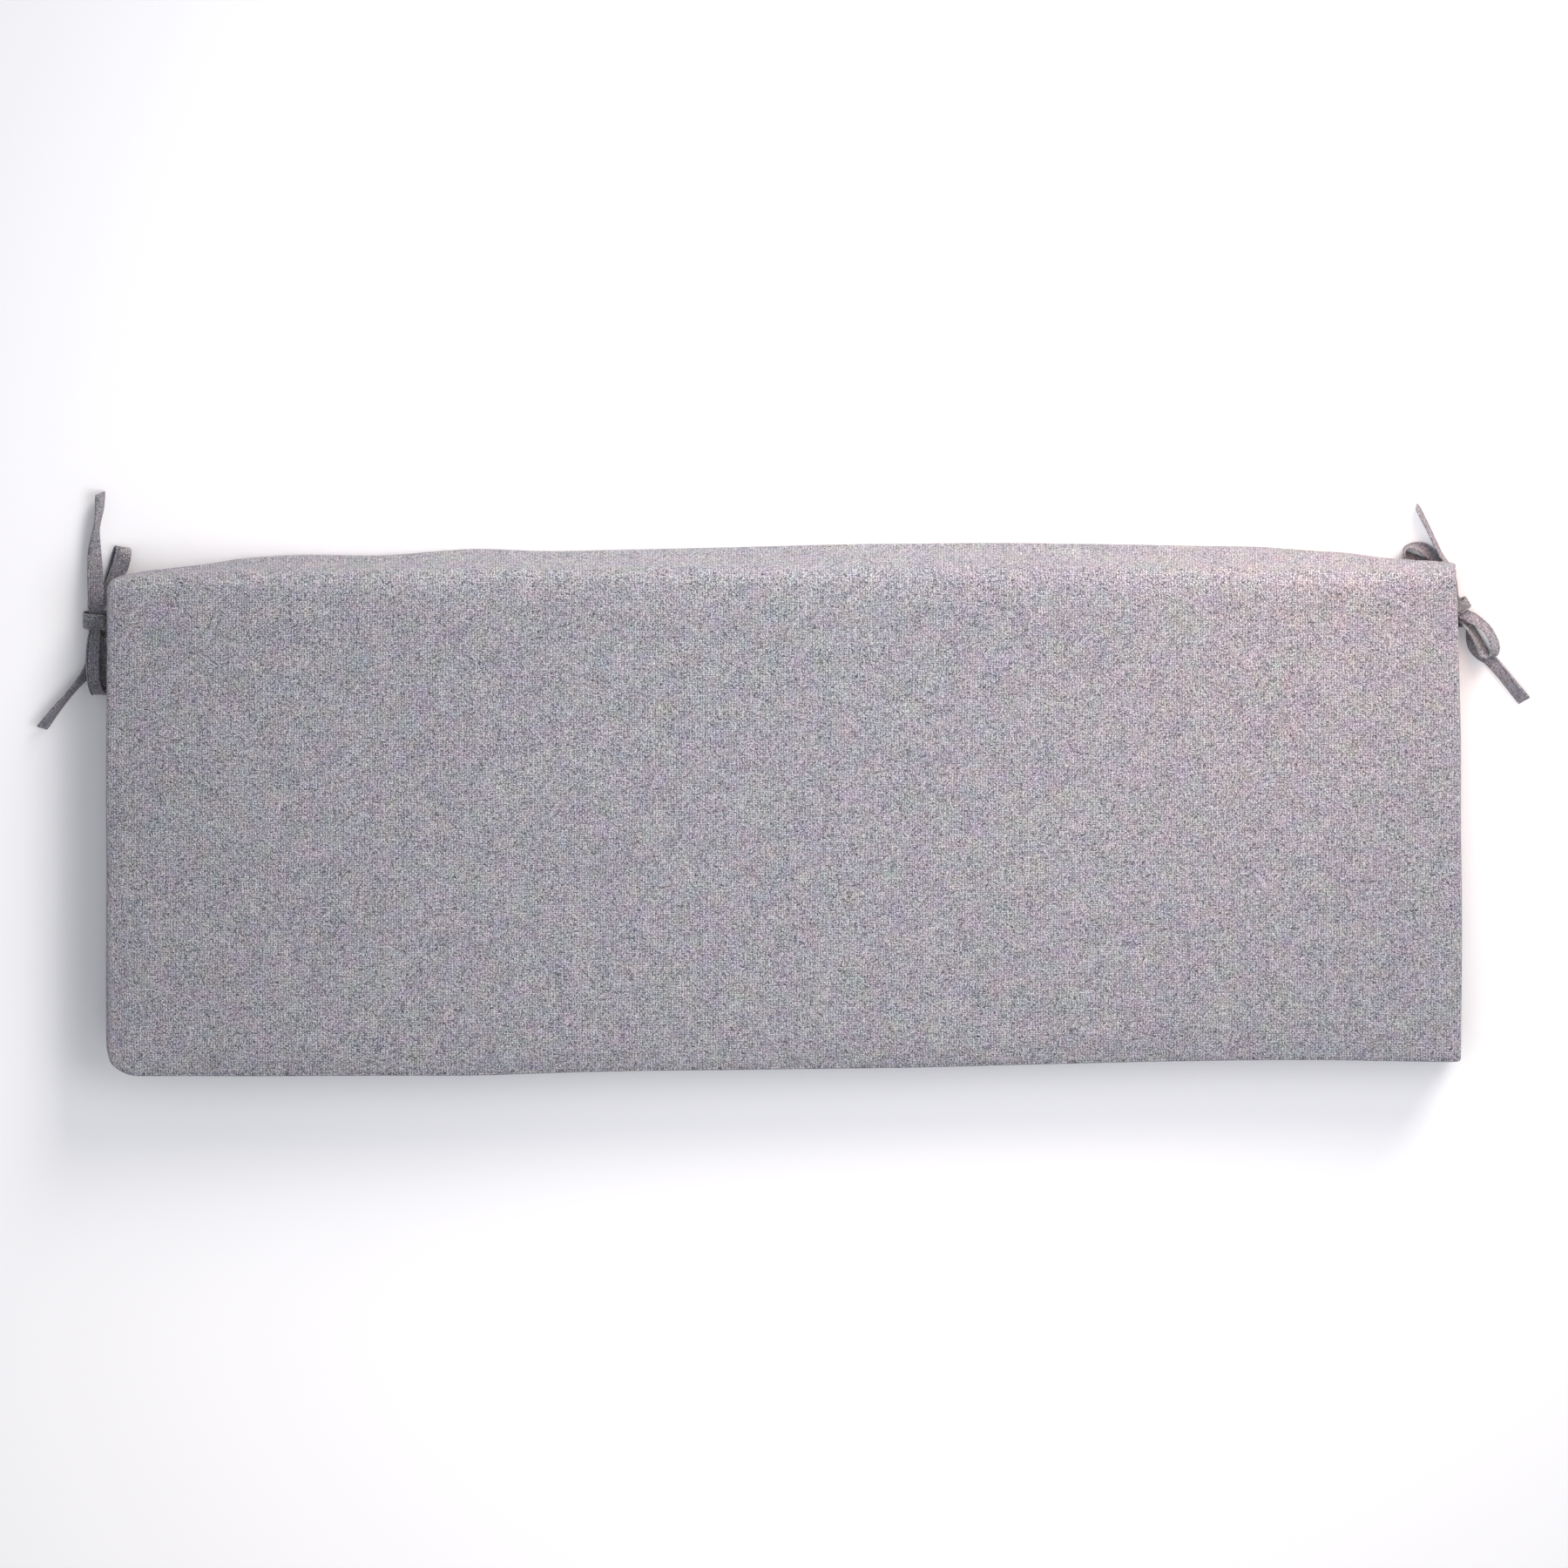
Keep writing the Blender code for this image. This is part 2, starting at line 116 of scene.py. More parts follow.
# End seam, from the face into the middle of the end panel: inset from the end, drop from the
# edge. The needle's groove lies between the cover's roll and the panel's.
END_SEAM = [
    (4.6, 0.0), (2.6, 0.1), (1.2, 0.5), (0.4, 1.2), (0.1, 2.1), (0.35, 2.8), (2.1, 3.25), (1.8, 3.6),
    (0.3, 4.2), (0.0, 5.6), (0.3, 9.0), (0.3, 13.5), (0.1, 18.0), (0.0, 22.0),
]
GROOVE_RING = 6


def read_table(table, at, column=1):
    """Value of a table's column at a place along its first column, eased between rows."""
    rows = np.array(table, dtype=float)
    keys, values = rows[:, 0], rows[:, column]
    at = min(max(at, keys[0]), keys[-1])
    i = min(int(np.searchsorted(keys, at, side="right")) - 1, len(keys) - 2)
    grades = np.diff(values) / np.diff(keys)
    slopes = np.zeros(len(keys))
    turning = grades[:-1] * grades[1:] <= 0
    total = np.where(turning, 1, grades[:-1] + grades[1:])
    slopes[1:-1] = np.where(turning, 0, 2 * grades[:-1] * grades[1:] / total)
    span = keys[i + 1] - keys[i]
    t = (at - keys[i]) / span
    return float(
        values[i] * (2 * t**3 - 3 * t**2 + 1) + values[i + 1] * (3 * t**2 - 2 * t**3)
        + span * (slopes[i] * (t**3 - 2 * t**2 + t) + slopes[i + 1] * (t**3 - t**2))
    )


def smooth_step(t):
    """Ease from 0 to 1."""
    t = min(max(t, 0.0), 1.0)
    return t * t * (3 - 2 * t)


def tuck_profile(z):
    """How much of the foot's tuck reaches a height on the wall."""
    return max(0.0, 1 - z / TUCK_HEIGHT) ** TUCK_POWER


def arc(centre, radius, start, steps):
    """Points of a quarter turn, clockwise from the start angle, without its last point."""
    turns = [math.radians(start - 90 * i / steps) for i in range(steps)]
    return [(centre[0] + radius * math.cos(a), centre[1] + radius * math.sin(a)) for a in turns]


def line(start, end, steps):
    """Evenly spaced points from start to end, without the last point."""
    return [
        (start[0] + (end[0] - start[0]) * i / steps, start[1] + (end[1] - start[1]) * i / steps)
        for i in range(steps)
    ]


def section(x):
    """The cushion's outline across its depth at x: a ring of (y, z) points from the front edge."""
    front = read_table(FRONT_EDGE, x)
    rear = read_table(REAR_EDGE, x)
    top, fold, seam, foot = EDGE_HEIGHT, REAR_FOLD_RADIUS, SEAM_RADIUS, BOTTOM_RADIUS
    ring = line((front + seam, top), (rear - fold, top), STEPS["face"])
    ring += arc((rear - fold, top - fold), fold, 90, STEPS["fold"])
    ring += line((rear, top - fold), (rear, seam), STEPS["wall"])
    ring += arc((rear - seam, seam), seam, 0, STEPS["seam"])
    ring += line((rear - seam, 0), (front + foot, 0), STEPS["under"])
    ring += arc((front + foot, foot), foot, 270, STEPS["seam"])
    ring += line((front, foot), (front, top - seam), STEPS["wall"])
    ring += arc((front + seam, top - seam), seam, 180, STEPS["seam"])
    lean = read_table(REAR_WALL, x, 1)
    tuck = read_table(REAR_WALL, x, 2)
    shaped = []
    for y, z in ring:
        share = (y - front) / (rear - front)
        bulge = math.sin(math.pi * min(max(z / top, 0), 1))
        pull = lean * (1 - z / top) + tuck * tuck_profile(z)
        y += share * (REAR_BULGE * bulge - pull) - (1 - share) * FRONT_BULGE * bulge
        across = 1 - (2 * share - 1) ** 2
        along = 1 - (abs(x) / HALF_LENGTH) ** CROWN_END
        z += (z / top) ** CROWN_RISE * CROWN * max(across, 0) ** CROWN_SPREAD * max(along, 0)
        shaped.append((y, z))
    return shaped


def draw_in(ring, drop):
    """Draw a ring toward the middle line of the end panel by a drop in millimetres."""
    scale = 1 - drop / MID_HEIGHT
    limit = max(y for y, z in ring) - MID_HEIGHT
    floor = min(y for y, z in ring) + MID_HEIGHT
    drawn = []
    for y, z in ring:
        middle = min(max(y, floor), limit)
        drawn.append((middle + (y - middle) * scale, MID_HEIGHT + (z - MID_HEIGHT) * scale))
    return drawn


def settle(x, y, z):
    """Draw in the end walls and lift the soft corners at the ties, for one point."""
    right = x > 0
    edge = read_table(END_WALLS, y, 2 if right else 1)
    tuck = read_table(END_WALLS, y, 4 if right else 3)
    reach = smooth_step((abs(x) - HALF_LENGTH + END_REACH) / END_REACH)
    x -= math.copysign(reach * (edge + tuck * tuck_profile(z)), x)
    corner = Vector((math.copysign(HALF_LENGTH - tuck, x), read_table(REAR_EDGE, x) - tuck))
    near = smooth_step(1 - (Vector((x, y)) - corner).length / LIFT_REACH)
    z += CORNER_LIFT * near * (1 - z / EDGE_HEIGHT) if z < EDGE_HEIGHT else 0
    return x, y, z


inner = HALF_LENGTH - END_SEAM[0][0]
count = round(2 * inner / STATION_STEP)
left = [(-HALF_LENGTH + inset, drop) for inset, drop in reversed(END_SEAM)]
middle = [(-inner + 2 * inner * i / count, 0.0) for i in range(1, count)]
right = [(HALF_LENGTH - inset, drop) for inset, drop in END_SEAM]
stations = left + middle + right
first_wrap = len(END_SEAM) - 1 - GROOVE_RING
last_wrap = len(stations) - 1 - first_wrap
rings = [[settle(x, y, z) for y, z in draw_in(section(x), drop)] for x, drop in stations]

# The cloth is mapped by lengths measured over the cushion, so its threads stay one size: along
# each row from the middle station, and round the girth from the front edge.
places = np.array(rings)
size = places.shape[1]
centre = len(rings) // 2
along = np.linalg.norm(np.diff(places, axis=0), axis=2)
along = np.vstack([np.zeros((1, size)), np.cumsum(along, axis=0)])
along -= along[centre]
girth = np.linalg.norm(np.diff(places[centre], axis=0, append=places[centre][:1]), axis=1)
girth = np.concatenate([[0], np.cumsum(girth)])

bm = bmesh.new()
cloth_map = bm.loops.layers.uv.new("cloth")
rows = [[bm.verts.new(Vector(point) * MM) for point in ring] for ring in rings]
for i in range(len(rows) - 1):
    wrap = first_wrap <= i < last_wrap
    for j in range(size):
        k = (j + 1) % size
        face = bm.faces.new((rows[i][j], rows[i][k], rows[i + 1][k], rows[i + 1][j]))
        for loop, (a, b) in zip(face.loops, ((i, j), (i, j + 1), (i + 1, j + 1), (i + 1, j))):
            x, y, z = rings[a][b % size]
            flat = (along[a][b % size], girth[b]) if wrap else (y, z)
            loop[cloth_map].uv = (flat[0] * MM, flat[1] * MM)
# The middle of each end panel: a strip between its upper and lower edges, closed at both ends.
wide = STEPS["face"]
under = wide + STEPS["fold"] + STEPS["wall"] + STEPS["seam"]
for row in (rows[0], rows[-1]):
    strip = [
        (row[i], row[i + 1], row[under + wide - i - 1], row[under + wide - i]) for i in range(wide)
    ]
    for corners in strip + [row[wide:under + 1], row[under + wide:] + row[:1]]:
        face = bm.faces.new(corners)
        for loop in face.loops:
            loop[cloth_map].uv = (loop.vert.co.y, loop.vert.co.z)
bmesh.ops.triangulate(bm, faces=[f for f in bm.faces if len(f.verts) > 4])
bmesh.ops.recalc_face_normals(bm, faces=bm.faces)
mesh = bpy.data.meshes.new("cushion_cover")
bm.to_mesh(mesh)
bm.free()
cover = bpy.data.objects.new("cushion_cover", mesh)
bpy.context.scene.collection.objects.link(cover)

# The filling presses the cover out between its seams. The seams are held, the front crease, the
# rear foot and the taut end panels nearly so, and no point moves more than the cap.
CREASE_GRIP = 0.93
SEAM_GRIP_REACH = 16
SWELL_CAP = 2.2
SWELL_PRESSURE = 4.0
SWELL_FRAMES = 20

start = np.array([v.co for v in mesh.vertices])
held = cover.vertex_groups.new(name="seams")
creases = [*range(size - STEPS["seam"], size), 0, *range(under - STEPS["seam"], under + 1)]
for i, (x, drop) in enumerate(stations):
    grip = CREASE_GRIP
    if i in (first_wrap, last_wrap):
        grip = 1
    elif first_wrap < i < last_wrap:
        grip = smooth_step(1 - abs(abs(x) - HALF_LENGTH) / SEAM_GRIP_REACH)
    held.add(list(range(i * size, (i + 1) * size)), grip, "REPLACE")
    held.add([i * size + j for j in creases], max(grip, CREASE_GRIP), "REPLACE")
cloth = cover.modifiers.new("filling", "CLOTH")
cloth.settings.quality = 5
cloth.settings.mass = 0.3
cloth.settings.tension_stiffness = 25
cloth.settings.compression_stiffness = 25
cloth.settings.bending_stiffness = 2
cloth.settings.use_pressure = True
cloth.settings.uniform_pressure_force = SWELL_PRESSURE
cloth.settings.vertex_group_mass = "seams"
cloth.settings.effector_weights.gravity = 0
cloth.point_cache.frame_end = SWELL_FRAMES
for step in range(1, SWELL_FRAMES + 1):
    bpy.context.scene.frame_set(step)
done = cover.evaluated_get(bpy.context.evaluated_depsgraph_get()).to_mesh()
moved = np.array([v.co for v in done.vertices]) - start
cover.modifiers.clear()
bpy.context.scene.frame_set(1)
reach = np.linalg.norm(moved, axis=1, keepdims=True)
cap = SWELL_CAP * MM
moved *= cap * np.tanh(reach / cap) / np.maximum(reach, 1e-9)

# Lie of the cloth: slow unevenness all over, and small puckers where the end stitches pull.
# The underside stays flat where it rests.
UNEVEN = 0.5
UNEVEN_WAVE = 70.0
PUCKER = 0.35
PUCKER_WAVE = 9.0
PUCKER_REACH = 22.0
PUCKER_ONSET = 5
END_APART = 9
REST_HEIGHT = 1
REST_SLIP = 0.2

for i, v in enumerate(mesh.vertices):
    place = Vector(start[i])
    if place.z < REST_HEIGHT * MM:
        moved[i] = (moved[i][0] * REST_SLIP, moved[i][1] * REST_SLIP, 0)
        continue
    lift = UNEVEN * MM * noise.noise(place / (UNEVEN_WAVE * MM))
    end_gap = (HALF_LENGTH * MM - abs(place.x)) / (PUCKER_REACH * MM)
    along_seam = Vector((math.copysign(END_APART, place.x), *(place.yz / (PUCKER_WAVE * MM))))
    pull = noise.noise(along_seam)
    lift += PUCKER * MM * pull * smooth_step(1 - end_gap) * smooth_step(end_gap * PUCKER_ONSET)
    moved[i] += np.array(v.normal) * lift
mesh.vertices.foreach_set("co", (start + moved).ravel())
mesh.shade_smooth()
finer = cover.modifiers.new("finer", "SUBSURF")
finer.levels = finer.render_levels = 1
bpy.context.view_layer.objects.active = cover
bpy.ops.object.modifier_apply(modifier="finer")


# Melange plain weave: grey polyester with pale and charcoal fibres spun together, so each
# thread is flecked along its length and the cloth looks salt-and-pepper, matt and dry.
# Pitches and lengths are in mm. A fibre is about 0.02 mm thick, too fine to show, so the flecks
# and the fibre ends that stand off the cloth are drawn coarser than they are.
WARP_PITCH = 1.77
WEFT_PITCH = 1.32
FLECK_WIDTH = 0.5
FLECK_LENGTH = 1.25
SLUB_LENGTH = 7.0
WANDER_LENGTH = 9.091
PATCH_SIZE = 16.667
FIBRE_END_SIZE = 0.38462
WANDER = 1.3
THREAD_ROUNDNESS = 0.6
CRIMP = 0.45
TWIST_SLANT = 0.35
SLUB_WEIGHT = 0.26
TINT_WEIGHT = 0.2
FIBRE_END_WEIGHT = 0.4
RELIEF_STRENGTH = 0.8
RELIEF_DEPTH = 0.35


def to_linear(code):
    """A colour's sRGB hex code as a linear colour."""
    parts = [int(code[i:i + 2], 16) / 255 for i in (1, 3, 5)]
    return (*[c / 12.92 if c <= 0.04045 else ((c + 0.055) / 1.055) ** 2.4 for c in parts], 1)


def add(tree, kind, links, **settings):
    """Add a node with its settings; a link is a socket to join or a value to set."""
    made = tree.nodes.new(kind)
    for key, value in settings.items():
        setattr(made, key, value)
    for key, value in links.items():
        if isinstance(value, bpy.types.NodeSocket):
            tree.links.new(value, made.inputs[key])
        else:
            made.inputs[key].default_value = value
    return made


def melange_weave(name, shades, contrast):
    """The cover's cloth, from its dark, middle and pale shades."""
    material = bpy.data.materials.new(name)
    material.use_nodes = True
    tree = material.node_tree
    shader = tree.nodes["Principled BSDF"]
    cloth = add(tree, "ShaderNodeUVMap", {}, uv_map="cloth").outputs["UV"]
    # Threads never run quite straight: both families wander by a fraction of a pitch.
    wander = add(tree, "ShaderNodeTexNoise",
                 {"Vector": cloth, "Scale": 1 / (WANDER_LENGTH * MM), "Detail": 2.0})
    sway = add(tree, "ShaderNodeVectorMath", {0: wander.outputs["Color"], 1: (-0.5, -0.5, -0.5)},
               operation="ADD").outputs[0]
    laid = add(tree, "ShaderNodeVectorMath", {0: sway, 1: (WANDER * MM, WANDER * MM, 0), 2: cloth},
               operation="MULTIPLY_ADD").outputs[0]
    counted = add(tree, "ShaderNodeVectorMath",
                  {0: laid, 1: (1 / (WARP_PITCH * MM), 1 / (WEFT_PITCH * MM), 0)},
                  operation="MULTIPLY").outputs[0]
    numbered = add(tree, "ShaderNodeVectorMath", {0: counted}, operation="FLOOR").outputs[0]
    count = add(tree, "ShaderNodeSeparateXYZ", {0: counted})
    number = add(tree, "ShaderNodeSeparateXYZ", {0: numbered})
    place = add(tree, "ShaderNodeSeparateXYZ", {0: laid})
    heights, tones = [], []
    for own, along, phase in ((0, 1, 0.0), (1, 0, 1.0)):
        # A thread is round across and rises over every second thread that it meets.
        angle = add(tree, "ShaderNodeMath", {0: count.outputs[own], 1: math.pi},
                    operation="MULTIPLY")
        arch = add(tree, "ShaderNodeMath", {0: angle.outputs[0]}, operation="SINE")
        arch = add(tree, "ShaderNodeMath", {0: arch.outputs[0]}, operation="ABSOLUTE")
        arch = add(tree, "ShaderNodeMath", {0: arch.outputs[0], 1: THREAD_ROUNDNESS},
                   operation="POWER")
        step = add(tree, "ShaderNodeMath", {0: count.outputs[along], 1: number.outputs[own]},
                   operation="ADD")
        step = add(tree, "ShaderNodeMath", {0: step.outputs[0], 1: math.pi, 2: phase * math.pi},
                   operation="MULTIPLY_ADD")
        rise = add(tree, "ShaderNodeMath", {0: step.outputs[0]}, operation="SINE")
        height = add(tree, "ShaderNodeMath", {0: rise.outputs[0], 1: CRIMP, 2: arch.outputs[0]},
                     operation="MULTIPLY_ADD")
        heights.append(height.outputs[0])
        # Flecks slant with the yarn's twist; slubs are longer stretches of a darker or paler yarn.
        yarn = add(tree, "ShaderNodeMath", {0: number.outputs[own], 1: 3.7, 2: phase * 40},
                   operation="MULTIPLY_ADD").outputs[0]
        slant = add(tree, "ShaderNodeMath",
                    {0: place.outputs[along], 1: TWIST_SLANT, 2: place.outputs[own]},
                    operation="MULTIPLY_ADD")
        wide = add(tree, "ShaderNodeMath", {0: slant.outputs[0], 1: 1 / (FLECK_WIDTH * MM)},
                   operation="MULTIPLY")
        long = add(tree, "ShaderNodeMath", {0: place.outputs[along], 1: 1 / (FLECK_LENGTH * MM)},
                   operation="MULTIPLY")
        at = add(tree, "ShaderNodeCombineXYZ", {0: wide.outputs[0], 1: long.outputs[0], 2: yarn})
        fleck = add(tree, "ShaderNodeTexNoise", {"Vector": at.outputs[0], "Scale": 1.0, "Detail": 1.0})
        run = add(tree, "ShaderNodeMath", {0: place.outputs[along], 1: 1 / (SLUB_LENGTH * MM)},
                  operation="MULTIPLY")
        at = add(tree, "ShaderNodeCombineXYZ", {0: yarn, 1: run.outputs[0]})
        slub = add(tree, "ShaderNodeTexNoise", {"Vector": at.outputs[0], "Scale": 1.0, "Detail": 2.0})
        tone = add(tree, "ShaderNodeMath",
                   {0: slub.outputs["Fac"], 1: SLUB_WEIGHT, 2: fleck.outputs["Fac"]},
                   operation="MULTIPLY_ADD")
        tones.append(tone.outputs[0])
    relief = add(tree, "ShaderNodeMath", {0: heights[0], 1: heights[1]},
                 operation="MAXIMUM").outputs[0]
    warp_up = add(tree, "ShaderNodeMath", {0: heights[0], 1: heights[1]},
                  operation="GREATER_THAN").outputs[0]
    tone = add(tree, "ShaderNodeMix", {0: warp_up, 2: tones[1], 3: tones[0]}).outputs[0]
    cloud = add(tree, "ShaderNodeTexNoise",
                {"Vector": cloth, "Scale": 1 / (PATCH_SIZE * MM), "Detail": 3.0})
    # The shade is 0.5 for the middle of the cloth. Flecks and yarns, the gaps between threads, the
    # thread on top and the clouds each move it by their weight, from their own middle value. The gaps
    # term is painted shade: the colour is darker where the threads sink between each other.
    shade = 0.5
    for source, weight, centre in (
        (tone, 2.9, 0.63), (relief, 0.3, 1.05), (warp_up, 0.05, 0.5), (cloud.outputs["Fac"], 0.12, 0.5),
    ):
        apart = add(tree, "ShaderNodeMath", {0: source, 1: centre}, operation="SUBTRACT")
        shade = add(tree, "ShaderNodeMath", {0: apart.outputs[0], 1: weight * contrast, 2: shade},
                    operation="MULTIPLY_ADD").outputs[0]
    ramp = add(tree, "ShaderNodeValToRGB", {0: shade})
    stops = ramp.color_ramp.elements
    stops[0].color, stops[1].color = to_linear(shades[0]), to_linear(shades[2])
    stops.new(0.5).color = to_linear(shades[1])
    # Fibre dye lots: patches from a thread to a few centimetres wide lean to green, blue or rose.
    tint = add(tree, "ShaderNodeTexNoise", {"Vector": cloth, "Scale": 1 / (PATCH_SIZE * MM),
                                            "Detail": 5.0, "Roughness": 0.65})
    lean = add(tree, "ShaderNodeMix",
               {0: TINT_WEIGHT, 6: ramp.outputs["Color"], 7: tint.outputs["Color"]},
               data_type="RGBA", blend_type="OVERLAY")
    tree.links.new(lean.outputs[2], shader.inputs["Base Color"])
    hair = add(tree, "ShaderNodeTexNoise",
               {"Vector": cloth, "Scale": 1 / (FIBRE_END_SIZE * MM), "Detail": 2.0})
    height = add(tree, "ShaderNodeMath", {0: hair.outputs["Fac"], 1: FIBRE_END_WEIGHT, 2: relief},
                 operation="MULTIPLY_ADD")
    bump = add(tree, "ShaderNodeBump", {"Height": height.outputs[0], "Strength": RELIEF_STRENGTH,
                                        "Distance": RELIEF_DEPTH * MM})
    tree.links.new(bump.outputs[0], shader.inputs["Normal"])
    # Spun polyester: matt, with a weak sheen from the fibre ends that stand off the cloth.
    shader.inputs["Roughness"].default_value = 0.92
    shader.inputs["IOR"].default_value = 1.5
    shader.inputs["Specular IOR Level"].default_value = 0.25
    shader.inputs["Sheen Weight"].default_value = 0.1
    shader.inputs["Sheen Roughness"].default_value = 0.6
    return material


mesh = cover.data
mesh.materials.clear()
mesh.materials.append(
    melange_weave("grey_melange_plain_weave", ("#37353d", "#8f8e94", "#c5c3c7"), 1.12)
)
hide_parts("cushion")
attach(cover, "root")


# ---------------------------------------------------------------------------------------------
# Ties. Four flat tubes of the cover's cloth, 11.5 mm wide, turned right side out, pressed and
# stitched along one edge. Each is sewn into a rear corner, and each pair is tied in a bow.
# ---------------------------------------------------------------------------------------------
TIE_WIDTH = 11.5
TIE_THICKNESS = 1.7
TIE_STEP = 1.5
PLEAT_DEPTH = 0.55
PLEATS = 3
END_THINNING = 0.55
LEFT_BAND = 11.0
RIGHT_BAND = 7.4

# Bow frames: knot x and y, swing of the bow's axis in degrees, side on which the cushion lies.
LEFT_BOW = (-465.3, 128.5, 0.0, 1)
RIGHT_BOW = (455.2, 137.5, 29.4, -1)

# Tie routes in the bow's own frame, a row for each bend: u toward the cushion, v up the bow's axis,
# height, heading and rise in degrees of the line across the tie, and its width where it is bunched.
LEFT_UP = [
    (22.4, 32.0, 11.1, -44, 0, 8.4), (13.8, 24.5, 8.5, -42, 0, 9.0), (7.2, 17.4, 7.0, -36, 0, 8.0),
    (2.0, 10.0, 6.1, -15, 0, 7.8), (0.0, 3.0, 5.4, 0, 0, 7.8), (0.0, -6.0, 5.4, 0, 0, 7.8),
    (1.0, -12.5, 6.5, 0, 0, 9.0), (2.6, -21.0, 6.2, 0, 0, 10.5), (3.5, -32.0, 5.4, 0, 0, 11.5),
    (3.7, -42.5, 5.2, 0, 0, 11.5), (3.5, -48.5, 6.3, 0, 0, 11.5), (3.0, -51.1, 9.0, 0, 0, 11.0),
    (1.0, -48.7, 12.0, 0, 5, 9.6), (-1.2, -40.5, 13.4, 0, 8, 9.0), (-1.9, -28.0, 12.6, 0, 10, 9.4),
    (-1.4, -16.0, 10.4, 0, 5, 9.2), (-0.4, -8.0, 7.8, 0, 0, 8.0), (0.0, 0.0, 7.4, 0, 0, 7.8),
    (0.4, 6.8, 8.0, 0, 0, 9.0), (0.4, 11.2, 10.2, 0, 0, 11.4), (0.6, 16.6, 10.9, 0, -2, 11.4),
    (0.3, 25.0, 9.9, 0, -6, 11.2), (-0.1, 37.0, 6.7, 0, -26, 11.4), (-0.5, 50.0, 5.6, 0, -43, 11.5),
    (0.3, 61.5, 6.3, 0, -65, 11.5), (1.6, 69.5, 6.4, 0, -69, 11.5), (2.9, 78.0, 6.3, 0, -62, 11.5),
    (3.5, 90.4, 6.1, 0, -57, 11.5),
]
KNOT_BAND = [
    (8.0, 0.0, 1.15, 90, 0, 10.0), (-1.0, 0.0, 1.15, 90, 0, 10.5), (-4.8, 0.0, 1.3, 90, 0, 10.5),
    (-7.2, 0.0, 3.0, 90, 0, 11.0), (-7.7, 0.0, 5.6, 90, 0, 11.0), (-6.6, 0.0, 8.4, 90, 0, 11.0),
    (-3.8, 0.0, 9.8, 90, 0, 11.0), (0.6, 0.0, 10.1, 90, 0, 11.0), (4.8, -0.6, 9.6, 90, 0, 10.5),
    (7.8, -2.6, 7.6, 90, -20, 8.5), (8.4, -6.4, 4.6, 90, -50, 5.5), (7.2, -10.8, 2.5, 90, -88, 3.6),
    (4.6, -13.4, 2.4, 90, -90, 3.5), (2.4, -11.4, 2.4, 0, -80, 3.5), (2.4, -6.6, 2.9, 0, -12, 3.9),
    (2.4, 0.0, 3.2, 0, 0, 4.1), (3.2, 6.4, 2.7, -5, 0, 4.2),
]


def knot_band(width):
    """The knot's rows, gathered to a width."""
    return [(*row[:5], min(row[5], width)) for row in KNOT_BAND]


LEFT_DOWN = [
    (21.3, 0.0, 1.15, 90, 0, 10.0), *knot_band(LEFT_BAND), (5.2, 11.4, 1.8, -18, 0, 4.4),
    (8.2, 18.6, 1.4, -22, 0, 7.5), (12.2, 30.0, 1.3, -25, 0, 10.5), (15.6, 41.2, 1.4, -20, 0, 11.2),
    (17.4, 48.0, 2.2, -14, 0, 11.0), (18.6, 50.9, 4.3, -12, 0, 10.8), (19.1, 48.6, 6.5, -14, 0, 11.0),
    (17.5, 40.5, 6.8, -18, 0, 11.5), (13.3, 29.5, 5.6, -27, 0, 10.5), (7.6, 20.4, 4.5, -38, 0, 7.0),
    (3.2, 14.4, 4.1, -38, 0, 5.2), (-0.4, 9.8, 3.8, -32, 0, 4.2), (-2.2, 5.4, 3.3, -8, 0, 4.1),
    (-2.3, 0.0, 3.2, 0, 0, 4.1), (-2.4, -7.0, 2.8, 0, 0, 4.4), (-1.5, -16.0, 2.0, -4, 0, 5.4),
    (-1.4, -26.0, 1.9, -12, -6, 7.2), (-5.4, -37.4, 4.0, -30, -36, 9.2),
    (-15.0, -49.5, 5.7, -37, -59, 10.8), (-25.9, -63.0, 5.6, -38, -54, 11.3),
    (-36.0, -77.0, 5.1, -37, -44, 11.5),
]
RIGHT_UP = [
    (12.4, 27.6, 6.4, 0, 0, 8.0), (5.4, 18.4, 6.0, 0, 0, 8.0), (1.8, 12.6, 5.7, 0, 0, 7.8),
    (0.4, 7.5, 5.4, 0, 0, 7.8), (0.0, 1.0, 5.3, 0, 0, 7.8), (0.0, -5.0, 5.3, 0, 0, 7.8),
    (0.0, -10.0, 6.2, 0, 28, 8.2), (-0.5, -14.6, 7.6, 0, 54, 9.2), (-0.6, -21.6, 8.1, 0, 69, 10.4),
    (-0.3, -29.6, 7.8, 6, 64, 10.8), (-0.1, -35.8, 8.0, 20, 57, 10.8), (-2.0, -39.8, 8.2, 44, 49, 10.4),
    (-5.4, -40.0, 8.2, 50, 50, 10.4), (-8.6, -36.2, 7.9, 36, 61, 10.8), (-9.9, -29.8, 7.6, 20, 68, 11.0),
    (-9.8, -22.4, 7.9, 14, 70, 10.6), (-7.9, -15.6, 8.6, 10, 62, 9.8), (-4.6, -10.0, 8.6, 6, 30, 8.8),
    (-0.9, -4.9, 8.0, 2, 6, 7.9), (0.0, 0.0, 7.4, 0, 0, 7.8), (-0.5, 6.6, 8.0, 0, 4, 8.0),
    (-3.6, 12.0, 9.9, 0, 42, 8.0), (-7.2, 17.6, 7.8, 0, 74, 8.0), (-8.8, 23.3, 5.4, 0, 88, 8.0),
    (-8.7, 29.9, 4.9, 0, 89, 8.4), (-8.2, 36.7, 5.8, 0, 89, 10.4), (-8.7, 44.4, 6.4, 0, 88, 11.5),
    (-9.5, 52.4, 6.4, 0, 88, 11.5), (-10.3, 62.9, 6.4, 0, 87, 11.5), (-11.1, 76.4, 6.4, 0, 87, 11.5),
]
